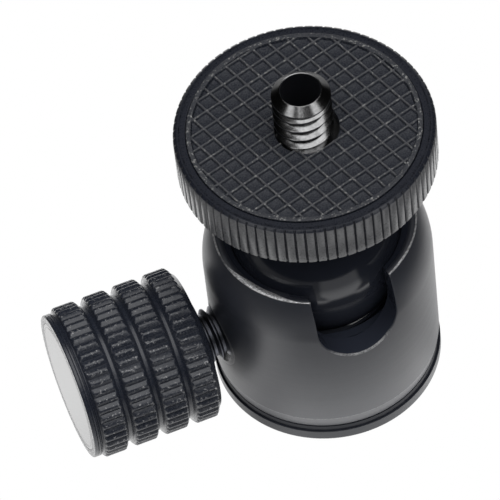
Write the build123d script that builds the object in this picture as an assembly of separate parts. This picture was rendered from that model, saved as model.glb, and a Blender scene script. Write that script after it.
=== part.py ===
from build123d import *
import os
from math import cos, pi, radians, sin, sqrt, tan

# Tripod ball head, in millimetres. +Z is up. The origin is the centre of the base's underside.
# The clamp knob points along -X and the drop notch faces -Y.

# ---- driving dimensions -------------------------------------------------------------------
running_gap = 0.05          # radial clearance of turning and sliding fits
ball_gap = 0.06             # clearance between the ball and the surfaces that hold it
seat_gap = 0.08             # clearance between the friction bowl and the pressure ring
bond_gap = 0.02             # adhesive or thread clearance between fixed pieces
edge_break = 0.3            # small chamfer on turned edges
fixed_gap = 0.2             # room that a fixed piece is given
past = 1                    # how far a cutting body reaches past the surface it opens

# ball and neck
ball_radius = 9.6
ball_height = 19.5
neck_radius = 3.6
neck_flare = 1.2            # how far the neck's shoulder stands out
neck_flare_height = 1.6
neck_shoulder_height = 0.5
neck_bore_wall = 1.1
neck_bore_room = 0.8        # below the stud's shank
washer_thickness = 0.5
liner_low = 0.5             # above the ball's centre
bowl_thickness = 0.45
bowl_inner_angle = 14.0     # from straight down, where the bowl's zone starts
bowl_outer_angle = 50.0     # and where it ends

# housing, with heights measured up from the ball's centre
ball_room = 0.6             # between the ball and the bore
housing_wall = 2.4
rim_height = 3.92
rim_inset = 1.48            # from the straight wall in to the rim
shoulder_drop = 1.5         # the shoulder's curve starts this far below the ball's centre
foot_bevel_height = 1.6
foot_bevel_depth = 0.28
rim_bevel_width = 0.95
rim_bevel_drop = 0.42
lip_overlap = 0.15          # how far the lip reaches in over the ball
lip_bevel_drop = 0.5
lip_height = 1.32
notch_side_room = 0.95      # between the neck and each side of the notch
notch_edge_bevel = 0.18

# base
flange_overhang = 0.05
flange_height = 1.45
flange_chamfer = 0.2
groove_height = 0.75
groove_inset = 0.7
plug_drop = 2.95            # the plug's top lies this far below the ball's lowest point
base_thread_radius = 2.55   # minor radius of a 1/4"-20 thread
base_thread_lead_in = 0.3
insert_wall = 1.95
insert_cover = 1.15         # plug left above the insert
insert_head_overhang = 0.9
insert_head_height = 1.0
guide_pin_radius = 0.75
guide_pin_length = 5.4
guide_pin_depth = 2.4
guide_pin_room = 0.4        # above the pins when the ring is down

# platform
platform_radius = 14.0
platform_rise = 14.8        # from the ball's centre to the platform's underside
platform_thickness = 5.7
platform_teeth = 82
platform_groove_width = 0.34
platform_groove_floor = 0.04    # share of the tooth pitch
platform_groove_depth = 0.3
platform_chamfer = 0.35
platform_underside_chamfer = 0.5
pad_border = 1.4
pad_recess = 1.0
pad_proud = 0.2
pad_wall_gap = 0.05
pad_hole_room = 0.62
pad_rim_width = 0.55        # plain ring round the ribs
rib_width = 0.36
pocket_depth = 0.34
rib_families = (            # pitch, direction across the ribs in degrees, place of one rib
    (1.72, 105.5, -0.213),
    (1.79, 18.5, -0.806))

# camera stud, 1/4"-20
stud_radius = 3.175
stud_rise = 6.4             # above the platform
stud_tip_chamfer = 0.87
stud_wall = 1.025
stud_hole_depth = 8.5
stud_hole_point = 1.0       # cone left by the drill
stud_lip_width = 0.12       # round the mouth of the hole
stud_lip_drop = 0.1
stud_relief_depth = 0.32    # undercut at the foot of the thread
stud_flange_radius = 5.6
stud_flange_height = 1.3
stud_shank_depth = 8.2

# clamp
screw_rise = 0.15           # the screw's axis lies this far above the ball's lowest point
screw_radius = 3.0
screw_countersink = 0.45
countersink_room = 0.3      # its cone starts and ends this far beyond the wall
screw_hex_step = 0.5        # from the thread's crest in to the hexagon's flats
hex_length = 5.0
hex_end_room = 0.2
plunger_length = 4.8
plunger_shoulder_length = 1.1
wedge_slope = 10.0          # degrees
wedge_drop = 0.5            # the wedge plane at the shoulder, below the screw's axis
wedge_gap = 0.03
wedge_end_room = 0.3
thrust_ball_radius = 1.5
ring_floor_gap = 0.3
ring_hole_room = 0.24
spring_outer_radius = 4.3
spring_inner_radius = 2.7
spring_thickness = 0.3
spring_height = 1.0
spring_side_room = 0.25

# knob
knob_clearance = 1.9        # between the housing's wall and the knob's collar
knob_radius = 8.64
knob_collar_radius = 5.0
knob_collar_length = 0.6
knob_back_length = 0.5
knob_ring_width = 2.6
knob_ring_count = 4
knob_groove_width = 0.97
knob_groove_depth = 0.64
knob_back_step = 0.3
knob_teeth = 50
knob_tooth_depth = 0.26
knob_tooth_crest = 0.36     # share of the tooth pitch
knob_tooth_valley = 0       # share of the tooth pitch: none, so the grooves end in a V
knob_ring_chamfer = 0.4
knob_nose_length = 1.19
knob_nose_step = 0.39       # from the knurl's crest in to the nose
knob_nose_root = 0.5        # the nose starts this far inside the last ring
cap_border = 0.9
cap_thickness = 1.6
cap_edge = 0.15
fixing_head_radius = 2.75
fixing_head_height = 1.7
fixing_head_room = 0.3
fixing_shank_radius = 1.5
fixing_shank_length = 7.0
fixing_shank_room = 0.4     # left below the shank in the tapped hole
fixing_socket_flats = 2.5
fixing_socket_depth = 1.1
lock_washer_room = 0.1
lock_washer_thickness = 0.7
lock_washer_split = 0.4
head_room = 0.5

# ---- sizes that follow ----------------------------------------------------------------------
ball_bottom = ball_height - ball_radius
ball_seat_radius = ball_radius + ball_gap
bowl_outer_radius = ball_seat_radius + bowl_thickness
bore_radius = ball_radius + ball_room
housing_radius = bore_radius + housing_wall
housing_bottom = flange_height + groove_height
housing_top = ball_height + rim_height
rim_radius = housing_radius - rim_inset
shoulder_start = ball_height - shoulder_drop
lip_radius = ball_radius - lip_overlap
lip_bottom = housing_top - lip_height
notch_radius = neck_radius + notch_side_room
neck_flare_radius = neck_radius + neck_flare
washer_radius = neck_flare_radius - fixed_gap

base_radius = housing_radius + flange_overhang
groove_radius = housing_radius - groove_inset
plug_top = ball_bottom - plug_drop
insert_radius = base_thread_radius + insert_wall
insert_head_radius = insert_radius + insert_head_overhang
insert_length = plug_top - insert_cover

platform_bottom = ball_height + platform_rise
platform_top = platform_bottom + platform_thickness
pad_radius = platform_radius - pad_border
pad_floor = platform_top - pad_recess
pad_top = platform_top + pad_proud
pad_hole_radius = stud_radius + pad_hole_room
pocket_floor = pad_top - pocket_depth
washer_bottom = platform_bottom - washer_thickness
stud_tip = platform_top + stud_rise
stud_hole_radius = stud_radius - stud_wall
stud_flange_bottom = pad_floor - stud_flange_height
stud_shank_radius = neck_radius - neck_bore_wall
neck_bore_depth = stud_shank_depth + neck_bore_room

screw_height = ball_bottom + screw_rise
screw_tip_place = bore_radius + fixed_gap           # places are measured from the housing's axis
hex_flats = 2 * (screw_radius - screw_hex_step)
plunger_radius = screw_height - plug_top - fixed_gap
plunger_outer_end = bore_radius - fixed_gap
plunger_inner_end = plunger_outer_end - plunger_length
plunger_shoulder = plunger_outer_end - plunger_shoulder_length
wedge_height_at_shoulder = screw_height - wedge_drop
ring_bottom = plug_top + ring_floor_gap
ring_top = ball_height - notch_radius       # level with the notch's floor
ring_radius = bore_radius - 2 * running_gap
ring_seat_radius = bowl_outer_radius + seat_gap
ring_hole_radius = bowl_outer_radius * sin(radians(bowl_inner_angle)) + ring_hole_room
spring_pocket_radius = spring_outer_radius + spring_side_room
guide_pin_place = (spring_pocket_radius + ring_radius) / 2

knob_collar_start = housing_radius + knob_clearance
knob_back = knob_collar_start + knob_collar_length
knob_ring_start = knob_back + knob_back_length
knob_ring_pitch = knob_ring_width + knob_groove_width
knob_ring_end = knob_ring_start + knob_ring_count * knob_ring_pitch - knob_groove_width
knob_face = knob_ring_end + knob_nose_length
knob_groove_radius = knob_radius - knob_groove_depth
knob_back_radius = knob_groove_radius - knob_back_step
knob_nose_radius = knob_radius - knob_nose_step
cap_radius = knob_nose_radius - cap_border
cap_floor = knob_face - cap_thickness
fixing_head_floor = cap_floor - head_room - fixing_head_height
lock_washer_floor = fixing_head_floor - lock_washer_thickness
hex_start = lock_washer_floor - hex_length

ball_centre = (0, 0, ball_height)
centre_plane = Plane.XZ
screw_frame = Plane(origin=(0, 0, screw_height), x_dir=(0, 1, 0), z_dir=(-1, 0, 0))


# ---- helpers --------------------------------------------------------------------------------
def turned(points, plane=centre_plane, axis=Axis.Z):
    """A body turned about an axis from its half profile, given as (radius, height) points."""
    outline = plane * make_face(Polyline(*points, close=True))
    return revolve(outline, axis)


def along_screw(radius, start, end):
    """A round bar on the screw's axis between two distances from the housing's axis."""
    bar = Cylinder(radius, end - start, align=(Align.CENTER, Align.CENTER, Align.MIN))
    return screw_frame * Pos(0, 0, start) * bar


def turned_on_screw(points):
    """A body turned about the screw's axis, from (radius, distance) points."""
    return screw_frame * revolve(Plane.XZ * make_face(Polyline(*points, close=True)), Axis.Z)


def upright(radius, low, high):
    """A vertical round bar between two heights."""
    bar = Cylinder(radius, high - low, align=(Align.CENTER, Align.CENTER, Align.MIN))
    return Pos(0, 0, low) * bar


def toothed_outline(radius, depth, teeth, crest, valley):
    """A straight knurl's section. crest and valley are shares of the tooth pitch."""
    step = 2 * pi / teeth
    places = [(radius, -crest / 2), (radius, crest / 2), (radius - depth, 0.5 - valley / 2)]
    if valley > 0:
        places.append((radius - depth, 0.5 + valley / 2))
    points = []
    for tooth in range(teeth):
        for r, share in places:
            angle = (tooth + share) * step
            points.append((r * cos(angle), r * sin(angle)))
    return make_face(Polyline(*points, close=True))


def chamfered_bar(radius, length, low_chamfer, high_chamfer, sides):
    """A many-sided bar with chamfered ends, that trims the ends of a knurl's teeth."""
    half_side = pi / sides
    corner = 1 / cos(half_side)

    def section(inset, height):
        return Pos(0, 0, height) * Rot(0, 0, 180 / sides) * RegularPolygon(
            (radius - inset) * corner, sides)

    return loft([section(low_chamfer, 0), section(0, low_chamfer),
                 section(0, length - high_chamfer), section(high_chamfer, length)], ruled=True)


def notch_cutter(radius):
    """The drop notch: a slot with a round bottom, open upwards, through the front wall."""
    mouth = housing_radius + past
    inner = ball_radius / 2
    round_part = Pos(0, -inner, ball_height) * Rot(90, 0, 0) * Cylinder(
        radius, mouth - inner, align=(Align.CENTER, Align.CENTER, Align.MIN))
    height = housing_top - ball_height + past
    straight_part = Pos(0, -(mouth + inner) / 2, ball_height) * Box(
        2 * radius, mouth - inner, height, align=(Align.CENTER, Align.CENTER, Align.MIN))
    return round_part + straight_part


def on_notch_rim(edge):
    """Is this edge of the housing where the notch leaves the outside of the wall?"""
    for share in (0.1, 0.35, 0.65, 0.9):
        point = edge.position_at(share)
        drop = max(ball_height - point.Z, 0)
        off_notch = abs(sqrt(point.X ** 2 + drop ** 2) - notch_radius)
        if off_notch > 0.001 or point.Y > 0 or sqrt(point.X ** 2 + point.Y ** 2) < rim_radius - 0.01:
            return False
        if drop > 0 and sqrt(point.X ** 2 + point.Y ** 2) < housing_radius - 0.5:
            return False
    return True


def save(name, shape):
    shape.label = name
    export_step(shape, f"parts/{name}.step")


# ---- housing and what is fixed in it ----------------------------------------------------------
def make_housing():
    """Turned shell: foot bevel, straight wall, curved shoulder, sharp rim and a lip over the ball."""
    foot = (housing_radius - foot_bevel_depth, housing_bottom)
    wall_low = (housing_radius, housing_bottom + foot_bevel_height)
    wall_high = (housing_radius, shoulder_start)
    rim = (rim_radius, housing_top)
    rim_inner = (rim_radius - rim_bevel_width, housing_top - rim_bevel_drop)
    lip = (lip_radius, housing_top - rim_bevel_drop - lip_bevel_drop)
    with BuildPart() as shell:
        with BuildSketch(centre_plane):
            with BuildLine():
                Polyline((bore_radius, housing_bottom), foot, wall_low, wall_high)
                TangentArc(wall_high, rim, tangent=(0, 1))
                Polyline(rim, rim_inner, lip, (lip_radius, lip_bottom),
                         (bore_radius, lip_bottom), (bore_radius, housing_bottom))
            make_face()
        revolve(axis=Axis.Z)
    body = shell.part - notch_cutter(notch_radius)
    body = body.chamfer(notch_edge_bevel, None, [e for e in body.edges() if on_notch_rim(e)])
    thread_radius = screw_radius + running_gap
    body -= along_screw(thread_radius, bore_radius - 2 * past, housing_radius + past)
    cone_start = housing_radius - screw_countersink - countersink_room
    cone_end = housing_radius + countersink_room
    cone_mouth = thread_radius + cone_end - cone_start
    body -= turned_on_screw([(0, cone_start), (thread_radius, cone_start),
                             (cone_mouth, cone_end), (0, cone_end)])
    return body


def make_base_disc():
    """Flange, dark groove and the threaded plug that closes the housing from below."""
    plug_radius = bore_radius - bond_gap
    disc = turned([
        (0, 0), (base_radius - flange_chamfer, 0), (base_radius, flange_chamfer),
        (base_radius, flange_height), (groove_radius, flange_height),
        (groove_radius, housing_bottom), (plug_radius, housing_bottom),
        (plug_radius, plug_top), (0, plug_top)])
    disc -= upright(insert_head_radius + bond_gap, 0, insert_head_height)
    disc -= upright(insert_radius + bond_gap, 0, insert_length)
    for side in (-1, 1):
        hole = upright(guide_pin_radius + bond_gap, plug_top - guide_pin_depth, plug_top + past)
        disc -= Pos(0, side * guide_pin_place, 0) * hole
    return disc


def make_base_insert():
    """Steel bush with the 1/4"-20 hole that a tripod's screw goes into."""
    return turned([
        (base_thread_radius + base_thread_lead_in, 0), (insert_head_radius, 0),
        (insert_head_radius, insert_head_height), (insert_radius, insert_head_height),
        (insert_radius, insert_length), (base_thread_radius, insert_length),
        (base_thread_radius, base_thread_lead_in)])


def make_guide_pins():
    """Two dowels that let the pressure ring rise but not turn."""
    low = plug_top - guide_pin_depth
    pins = []
    for side in (-1, 1):
        pins.append(Pos(0, side * guide_pin_place, 0)
                    * upright(guide_pin_radius, low, low + guide_pin_length))
    return Compound(children=pins)


def make_upper_liner():
    """Plastic ring under the lip that the ball is clamped against, split at the notch."""
    low = ball_height + liner_low
    ring = upright(bore_radius - bond_gap, low, lip_bottom)
    ring -= Pos(*ball_centre) * Sphere(ball_seat_radius)
    return ring - notch_cutter(notch_radius)


def make_curved_washer():
    """Bowed spring washer under the pressure ring: it keeps light friction on the slack ball."""
    rise = spring_height - spring_thickness
    half = spring_outer_radius
    bow = (half * half + rise * rise) / (2 * rise)
    centre = plug_top + rise - bow
    length = 3 * spring_outer_radius
    tube = Rot(90, 0, 0) * (Cylinder(bow + spring_thickness, length) - Cylinder(bow, length))
    ring_end = plug_top + spring_height + past
    ring = (upright(spring_outer_radius, plug_top, ring_end)
            - upright(spring_inner_radius, plug_top - past, ring_end + past))
    return (Pos(0, 0, centre) * tube) & ring


# ---- ball, its seat and the platform -----------------------------------------------------------
def wedge_space(radius, gap, outer_end, inner_end, shoulder):
    """The plunger's form grown by a gap: a round bar whose inner part lies below the wedge plane."""
    bar = along_screw(radius + gap, inner_end, outer_end)
    slope = tan(radians(wedge_slope))
    top = screw_height + radius + 2 * past
    height_in = wedge_height_at_shoulder + gap - slope * (plunger_shoulder - inner_end + past)
    height_out = wedge_height_at_shoulder + gap + slope * (shoulder - plunger_shoulder)
    profile = Plane.XZ * make_face(Polyline(
        (-shoulder, height_out), (-inner_end + past, height_in),
        (-inner_end + past, top), (-shoulder, top), close=True))
    return bar - extrude(profile, amount=2 * (radius + past), both=True)


def make_pressure_ring():
    """Ring with a spherical seat that the wedge raises against the bowl and the ball."""
    ring = upright(ring_radius, ring_bottom, ring_top)
    ring -= Pos(*ball_centre) * Sphere(ring_seat_radius)
    ring -= upright(ring_hole_radius, ring_bottom - past, ring_top)
    ring -= upright(spring_pocket_radius, ring_bottom - past,
                    plug_top + spring_height + running_gap)
    half_width = plunger_radius + 3 * running_gap
    shoulder = plunger_shoulder - fixed_gap
    outside = bore_radius + past
    for radius in (plunger_radius, half_width - wedge_gap):
        ring -= wedge_space(radius, wedge_gap, outside, plunger_inner_end - wedge_end_room, shoulder)
    ring -= Pos(-(shoulder + outside) / 2, 0, screw_height) * Box(
        outside - shoulder, 2 * half_width, half_width + running_gap,
        align=(Align.CENTER, Align.CENTER, Align.MIN))
    pin_top = plug_top - guide_pin_depth + guide_pin_length
    for side in (-1, 1):
        hole = upright(guide_pin_radius + 2 * running_gap, ring_bottom - past,
                       pin_top + guide_pin_room)
        ring -= Pos(0, side * guide_pin_place, 0) * hole
    return ring


def make_friction_bowl():
    """Plastic zone of a sphere that lies between the ball and the pressure ring."""
    inner, outer = radians(bowl_inner_angle), radians(bowl_outer_angle)

    def at(radius, angle):
        return (radius * sin(angle), ball_height - radius * cos(angle))

    middle = (inner + outer) / 2
    with BuildPart() as bowl:
        with BuildSketch(centre_plane):
            with BuildLine():
                ThreePointArc(at(ball_seat_radius, inner), at(ball_seat_radius, middle),
                              at(ball_seat_radius, outer))
                Line(at(ball_seat_radius, outer), at(bowl_outer_radius, outer))
                ThreePointArc(at(bowl_outer_radius, outer), at(bowl_outer_radius, middle),
                              at(bowl_outer_radius, inner))
                Line(at(bowl_outer_radius, inner), at(ball_seat_radius, inner))
            make_face()
        revolve(axis=Axis.Z)
    return bowl.part


def make_ball():
    """Ball with its neck, which flares to a shoulder under the washer and is bored for the stud."""
    shoulder = washer_bottom - neck_shoulder_height
    neck = turned([
        (0, ball_height), (neck_radius, ball_height), (neck_radius, shoulder - neck_flare_height),
        (neck_flare_radius, shoulder), (neck_flare_radius, washer_bottom),
        (0, washer_bottom)])
    body = Pos(*ball_centre) * Sphere(ball_radius) + neck
    return body - upright(stud_shank_radius + running_gap, washer_bottom - neck_bore_depth,
                          washer_bottom + past)


def make_neck_washer():
    """Thin washer between the neck's shoulder and the platform."""
    ring = upright(washer_radius, washer_bottom, platform_bottom - running_gap)
    return ring - upright(stud_shank_radius + 2 * running_gap, washer_bottom - past,
                          platform_bottom + past)


def make_platform_disc():
    """Knurled disc with a recess for the pad and a counterbore for the stud's flange."""
    pitch = 2 * pi * platform_radius / platform_teeth
    crest = 1 - platform_groove_width / pitch
    outline = toothed_outline(platform_radius, platform_groove_depth, platform_teeth, crest,
                              platform_groove_floor)
    disc = Pos(0, 0, platform_bottom) * (
        extrude(outline, amount=platform_thickness)
        & chamfered_bar(platform_radius, platform_thickness, platform_underside_chamfer,
                        platform_chamfer, platform_teeth))
    disc -= upright(pad_radius + pad_wall_gap, pad_floor, platform_top + past)
    disc -= upright(stud_flange_radius + bond_gap, stud_flange_bottom, platform_top)
    return disc - upright(stud_shank_radius + bond_gap, platform_bottom - past, platform_top)


def make_platform_pad():
    """Round rubber pad: two crossing families of ribs with pockets between, inside a plain rim."""
    field = Circle(pad_radius)
    ribs = Sketch()
    for pitch, direction, place in rib_families:
        reach = int(pad_radius / pitch) + 1
        for number in range(-reach, reach + 1):
            rib = Rectangle(rib_width, 2 * pad_radius + past)
            ribs += Rot(0, 0, direction) * Pos(place + number * pitch, 0, 0) * rib
    raised = (field & ribs) + (field - Circle(pad_radius - pad_rim_width))
    pad = Pos(0, 0, pad_floor) * extrude(field, amount=pocket_floor - pad_floor)
    pad += Pos(0, 0, pocket_floor) * extrude(raised, amount=pocket_depth)
    return pad - upright(pad_hole_radius, pad_floor - past, pad_top + past)


def make_camera_stud():
    """Hollow 1/4"-20 stud: tip chamfer, undercut, flange under the pad and a shank into the neck."""
    shank_bottom = washer_bottom - stud_shank_depth
    relief_radius = stud_radius - stud_relief_depth
    thread_start = pad_top + running_gap
    hole_bottom = stud_tip - stud_hole_depth
    return turned([
        (0, shank_bottom), (stud_shank_radius, shank_bottom),
        (stud_shank_radius, stud_flange_bottom), (stud_flange_radius, stud_flange_bottom),
        (stud_flange_radius, pad_floor), (relief_radius, pad_floor),
        (relief_radius, thread_start), (stud_radius, thread_start),
        (stud_radius, stud_tip - stud_tip_chamfer), (stud_hole_radius + stud_lip_width, stud_tip),
        (stud_hole_radius, stud_tip - stud_lip_drop), (stud_hole_radius, hole_bottom),
        (0, hole_bottom - stud_hole_point)])


# ---- clamp --------------------------------------------------------------------------------------
thrust_ball_place = (plunger_outer_end + screw_tip_place) / 2


def thrust_cup(gap):
    return screw_frame * Pos(0, 0, thrust_ball_place) * Sphere(thrust_ball_radius + gap)


def make_clamp_plunger():
    """Round plunger with a wedge nose that goes under the pressure ring."""
    body = wedge_space(plunger_radius, 0, plunger_outer_end, plunger_inner_end, plunger_shoulder)
    return body - thrust_cup(bond_gap)


def make_thrust_ball():
    """Steel ball between the turning screw and the plunger."""
    return screw_frame * Pos(0, 0, thrust_ball_place) * Sphere(thrust_ball_radius)


def make_clamp_screw():
    """M6 screw with a hexagon inside the knob and a tapped end for the fixing screw."""
    screw = along_screw(screw_radius, screw_tip_place, hex_start)
    hexagon = RegularPolygon(hex_flats / 2, 6, major_radius=False)
    screw += screw_frame * Pos(0, 0, hex_start) * extrude(
        hexagon, amount=hex_length - hex_end_room)
    screw -= thrust_cup(running_gap)
    tapped = lock_washer_floor - fixing_shank_length
    return screw - along_screw(fixing_shank_radius + bond_gap, tapped, knob_face)


def make_knob_grip():
    """Turned knob: a back collar, four knurled rings with smooth grooves, and a nose."""
    core = turned_on_screw([
        (0, knob_collar_start), (knob_collar_radius - edge_break, knob_collar_start),
        (knob_collar_radius, knob_collar_start + edge_break), (knob_collar_radius, knob_back),
        (knob_back_radius, knob_back), (knob_groove_radius, knob_back + knob_back_step),
        (knob_groove_radius, knob_ring_end - knob_nose_root),
        (knob_nose_radius, knob_ring_end - knob_nose_root),
        (knob_nose_radius, knob_face - edge_break),
        (knob_nose_radius - edge_break, knob_face), (0, knob_face)])
    outline = toothed_outline(knob_radius, knob_tooth_depth, knob_teeth,
                              knob_tooth_crest, knob_tooth_valley)
    ring = extrude(outline, amount=knob_ring_width) & chamfered_bar(
        knob_radius, knob_ring_width, knob_ring_chamfer, knob_ring_chamfer, knob_teeth)
    for number in range(knob_ring_count):
        core += screw_frame * Pos(0, 0, knob_ring_start + number * knob_ring_pitch) * ring
    core -= along_screw(screw_radius + bond_gap, knob_collar_start - past, hex_start)
    hexagon = RegularPolygon(hex_flats / 2 + bond_gap, 6, major_radius=False)
    core -= screw_frame * Pos(0, 0, hex_start) * extrude(hexagon, amount=hex_length)
    core -= along_screw(fixing_shank_radius + fixed_gap, hex_start, cap_floor)
    core -= along_screw(fixing_head_radius + fixing_head_room, lock_washer_floor,
                        cap_floor + running_gap)
    return core - along_screw(cap_radius + bond_gap, cap_floor, knob_face + past)


def make_knob_end_cap():
    """Flat disc pressed into the knob's nose, over the fixing screw."""
    return turned_on_screw([
        (0, cap_floor), (cap_radius, cap_floor), (cap_radius, knob_face - cap_edge),
        (cap_radius - cap_edge, knob_face), (0, knob_face)])


def make_fixing_screw():
    """M3 cap screw that holds the knob on the clamp screw."""
    head = along_screw(fixing_head_radius, fixing_head_floor, fixing_head_floor + fixing_head_height)
    shank = along_screw(fixing_shank_radius, lock_washer_floor - fixing_shank_length + fixing_shank_room,
                        fixing_head_floor)
    socket = RegularPolygon(fixing_socket_flats / 2, 6, major_radius=False)
    socket_floor = fixing_head_floor + fixing_head_height - fixing_socket_depth
    return head + shank - screw_frame * Pos(0, 0, socket_floor) * extrude(
        socket, amount=fixing_socket_depth + past)


def make_lock_washer():
    """Split spring washer under the fixing screw's head."""
    ring = (along_screw(fixing_head_radius, lock_washer_floor, fixing_head_floor)
            - along_screw(fixing_shank_radius + lock_washer_room, lock_washer_floor - past,
                          fixing_head_floor + past))
    split = screw_frame * Pos(fixing_head_radius, 0, lock_washer_floor) * Box(
        2 * fixing_head_radius, lock_washer_split, 3 * lock_washer_thickness)
    return ring - split


os.makedirs("parts", exist_ok=True)
save("housing", make_housing())
save("base_disc", make_base_disc())
save("base_thread_insert", make_base_insert())
save("guide_pins", make_guide_pins())
save("upper_liner", make_upper_liner())
save("curved_washer", make_curved_washer())
save("pressure_ring", make_pressure_ring())
save("friction_bowl", make_friction_bowl())
save("ball", make_ball())
save("neck_washer", make_neck_washer())
save("platform_disc", make_platform_disc())
save("platform_pad", make_platform_pad())
save("camera_stud", make_camera_stud())
save("clamp_plunger", make_clamp_plunger())
save("thrust_ball", make_thrust_ball())
save("clamp_screw", make_clamp_screw())
save("knob_grip", make_knob_grip())
save("knob_end_cap", make_knob_end_cap())
save("knob_fixing_screw", make_fixing_screw())
save("knob_lock_washer", make_lock_washer())
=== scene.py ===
from math import atan2, cos, pi, radians, sin, sqrt, tan
import bmesh
import bpy
from mathutils import Matrix, Vector


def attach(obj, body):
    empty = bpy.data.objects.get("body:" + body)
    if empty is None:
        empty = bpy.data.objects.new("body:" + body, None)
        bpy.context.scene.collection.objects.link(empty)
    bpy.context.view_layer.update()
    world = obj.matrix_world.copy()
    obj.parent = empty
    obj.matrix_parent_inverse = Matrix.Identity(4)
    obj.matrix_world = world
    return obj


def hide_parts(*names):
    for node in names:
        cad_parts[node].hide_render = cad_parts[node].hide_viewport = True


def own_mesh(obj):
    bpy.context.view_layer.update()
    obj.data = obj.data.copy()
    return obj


# Mini tripod ball head. Sizes are in millimetres, in the part's own frame: +Z up, knob along -X,
# drop notch towards -Y. Outlines are lists of (radius, height) corners about Z, and a third number
# rounds the corner. Pieces of the clamp are made about Z and then laid along the screw.

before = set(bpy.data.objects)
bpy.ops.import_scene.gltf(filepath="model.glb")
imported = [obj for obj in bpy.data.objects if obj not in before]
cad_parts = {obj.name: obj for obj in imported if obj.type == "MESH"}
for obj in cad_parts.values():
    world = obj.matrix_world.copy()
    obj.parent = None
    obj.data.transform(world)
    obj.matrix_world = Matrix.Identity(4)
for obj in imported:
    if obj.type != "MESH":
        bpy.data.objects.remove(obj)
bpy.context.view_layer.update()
mm = 0.001
# points nearer to each other than a seam are merged, and a tiny length counts as none
seam, tiny = 0.0005, 1e-6

# ---- sizes --------------------------------------------------------------------------------
# ball and neck
ball_centre_height, ball_radius = 19.5, 9.6
neck_radius, neck_end = 3.6, 31.7
flare_radius, flare_start, flare_end = 4.8, 33.3, 33.8
neck_bore, neck_bore_floor = 2.55, 24.8

# housing and base
housing_radius, housing_bottom, foot_bevel, foot_bevel_top = 12.6, 2.2, 0.28, 3.8
shoulder_start, shoulder_centre, shoulder_radius = 18.0, 1.936, 10.664
rim_radius, rim_height = 11.12, 23.42
rim_inner_radius, rim_inner_height = 10.17, 23.0
lip_radius, lip_height, lip_thickness, bore_radius = 9.45, 22.5, 0.4, 10.2
notch_radius = 4.55
flange_radius, flange_top, step_radius, step_lean = 12.65, 1.45, 12.42, 0.14
groove_bottom, groove_radius = 1.95, 11.9
plug_radius, plug_top = 10.18, 6.95
insert_radius, insert_top, insert_head_radius, insert_head_top = 4.52, 5.8, 5.42, 1.0

# platform, pad and stud
platform_low, platform_high, platform_radius = 34.3, 40.0, 14.0
platform_bore, platform_teeth, platform_tooth_depth = 2.52, 82, 0.3
pad_floor, pad_top, pad_radius, pad_recess_radius = 39.0, 40.2, 12.6, 12.65
pad_hole, pad_hole_shift = 3.52, (0.24, -0.1, 0.0)
border_width, border_rise, border_lean, ridge_depth = 0.5, 0.004, 0.16, 0.34
stud_radius, stud_root, stud_pitch, stud_tip, stud_bottom = 3.175, 2.6, 1.45, 46.4, 25.6
stud_shank, stud_core, stud_head_radius, stud_head_low = 2.5, 2.62, 5.6, 37.7
stud_hole, stud_hole_floor = 2.15, 37.9

# clamp: starts, ends and floors are distances along the screw from the part's axis
screw_height, screw_hole_radius, countersink_start = 10.05, 3.05, 11.75
screw_axis = Matrix(((0, 0, -1, 0), (1, 0, 0, 0), (0, -1, 0, screw_height), (0, 0, 0, 1)))
screw_start, screw_end, screw_radius, screw_root, screw_core = 10.6, 25.3, 3.0, 2.45, 2.5
knob_start, knob_end, knob_radius, knob_bore = 14.5, 30.1, 8.64, 3.02
ring_count, ring_width, ring_step, first_ring = 4, 2.6, 3.57, 15.6
ring_teeth, ring_tooth_depth, ring_chamfer = 50, 0.26, 0.22
groove_edge, groove_floor, nose_radius = 8.22, 7.86, 8.25
cap_radius, cap_recess_radius, cap_floor = 7.35, 7.37, 28.5

# ---- light --------------------------------------------------------------------------------
# levels, as multiples of white
floor_glow, foot_glow, side_glow, far_glow = 1.1, 0.9, 0.4, 0.18
room_dark, room_light, lamp_glow = 0.04, 1.15, 28.0
floor_shadow_depth, beyond_depth, left_share, opening_fall = 0.96, 0.93, 0.25, 0.25
# directions about Z in degrees, and for a lamp also its height above the floor in degrees
floor_shadow_direction, backdrop_direction, left_direction = -87, 69, -150
lamps = (-156, 34), (-55, 34), (152, 60)
softbox_direction = -80, 79
# half angles in degrees: a soft edge starts at the first and is full at the second
opening_edge, backdrop_edge, left_edge = (26, 19), (45, 30), (50, 38)
horizon_edge, lamp_edge = (32, 24), (15, 8)
# soft edges given as cosines of the angle from the painted floor shadow, and as heights in the room,
# where 1 is straight up
front_start, sides_end = (0.45, 0.8), (-0.3, 0.45)
horizon_end, backdrop_end = (0.0, 0.05), (0.22, 0.38)
# distances from the part's axis in millimetres between which a soft edge lies
foot_end, floor_shadow_start, floor_shadow_end = (12.0, 24.0), (17.0, 30.0), (36.0, 44.0)
beyond_start, opening_taper, far_fall = (43.5, 48.0), (44.0, 64.0), (50.0, 110.0)
# before the opening the painted floor shadow ends this many millimetres later, and near the
# shadow the opening is narrower by this cosine
opening_delay, opening_narrowing = 4.0, 0.045
# the softbox, in watts and metres
softbox_power, softbox_width, softbox_length, softbox_distance = 6.8, 1.2, 1.05, 0.9


# ---- camera -------------------------------------------------------------------------------
def place_camera():
    """A long lens in front of the notch, looking down on the platform."""
    place = Vector((-104.114, -334.694, 488.760)) * mm
    right = Vector((0.9259, -0.3703, -0.0742)).normalized()
    back = Vector((-0.1658, -0.5750, 0.8012)).normalized()
    up = back.cross(right).normalized()
    right = up.cross(back).normalized()
    lens = bpy.data.cameras.new("studio_camera")
    lens.sensor_width, lens.lens = 36.0, 387.41
    lens.clip_start, lens.clip_end = 0.05, 20.0
    camera = bpy.data.objects.new("studio_camera", lens)
    camera.matrix_world = Matrix.Translation(place) @ Matrix((right, up, back)).transposed().to_4x4()
    bpy.context.scene.collection.objects.link(camera)
    bpy.context.scene.camera = camera


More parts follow.
